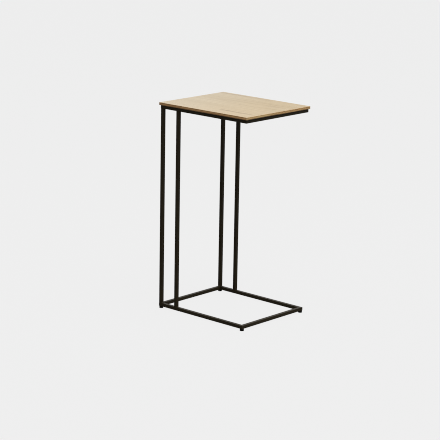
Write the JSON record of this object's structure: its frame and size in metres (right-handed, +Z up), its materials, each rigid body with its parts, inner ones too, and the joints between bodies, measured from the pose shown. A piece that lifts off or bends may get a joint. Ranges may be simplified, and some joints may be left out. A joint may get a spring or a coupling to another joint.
{
  "type": "c shaped side table",
  "caption": "C-shaped side table: thin wooden top on a welded black square-tube frame whose base slides under a sofa or bed, on screw-in levelling glides.",
  "frame": {"origin": "on the floor, under the middle of the top", "axes": "+Z up; the posts stand at the -X end and the C opens towards +X; -Y is the left side for someone who faces the open end"},
  "size_m": [0.339, 0.278, 0.62],
  "materials": {
    "wood_top": "matt lacquered light oak",
    "black_steel": "satin black powder coat",
    "zinc_steel": "bright zinc plate",
    "foot_plastic": "moulded black nylon"
  },
  "bodies": {
    "table": {"top_panel": "wood_top", "top_rail_left": "black_steel", "top_rail_right": "black_steel", "top_rail_front": "black_steel", "top_rail_back": "black_steel", "base_rail_left": "black_steel", "base_rail_right": "black_steel", "base_rail_front": "black_steel", "base_rail_back": "black_steel", "corner_post_left": "black_steel", "corner_post_right": "black_steel", "inner_post_left": "black_steel", "inner_post_right": "black_steel", "fixing_plate_back_left": "black_steel", "fixing_plate_back_right": "black_steel", "fixing_plate_front_left": "black_steel", "fixing_plate_front_right": "black_steel", "post_foot_welds": "black_steel", "post_head_welds": "black_steel", "plate_welds": "black_steel", "panel_screws": "zinc_steel", "foot_block_back_left": "zinc_steel", "foot_block_back_right": "zinc_steel", "foot_block_front_left": "zinc_steel", "foot_block_front_right": "zinc_steel"},
    "foot_back_left": {"foot_glide_back_left": "foot_plastic", "foot_stud_back_left": "zinc_steel"},
    "foot_back_right": {"foot_glide_back_right": "foot_plastic", "foot_stud_back_right": "zinc_steel"},
    "foot_front_left": {"foot_glide_front_left": "foot_plastic", "foot_stud_front_left": "zinc_steel"},
    "foot_front_right": {"foot_glide_front_right": "foot_plastic", "foot_stud_front_right": "zinc_steel"}
  },
  "joints": [
    {"name": "foot_back_left_level", "type": "slide", "parent": "table", "child": "foot_back_left", "axis": [0, 0, -1], "range_m": [0, 0.005]},
    {"name": "foot_back_right_level", "type": "slide", "parent": "table", "child": "foot_back_right", "axis": [0, 0, -1], "range_m": [0, 0.005]},
    {"name": "foot_front_left_level", "type": "slide", "parent": "table", "child": "foot_front_left", "axis": [0, 0, -1], "range_m": [0, 0.005]},
    {"name": "foot_front_right_level", "type": "slide", "parent": "table", "child": "foot_front_right", "axis": [0, 0, -1], "range_m": [0, 0.005]}
  ]
}
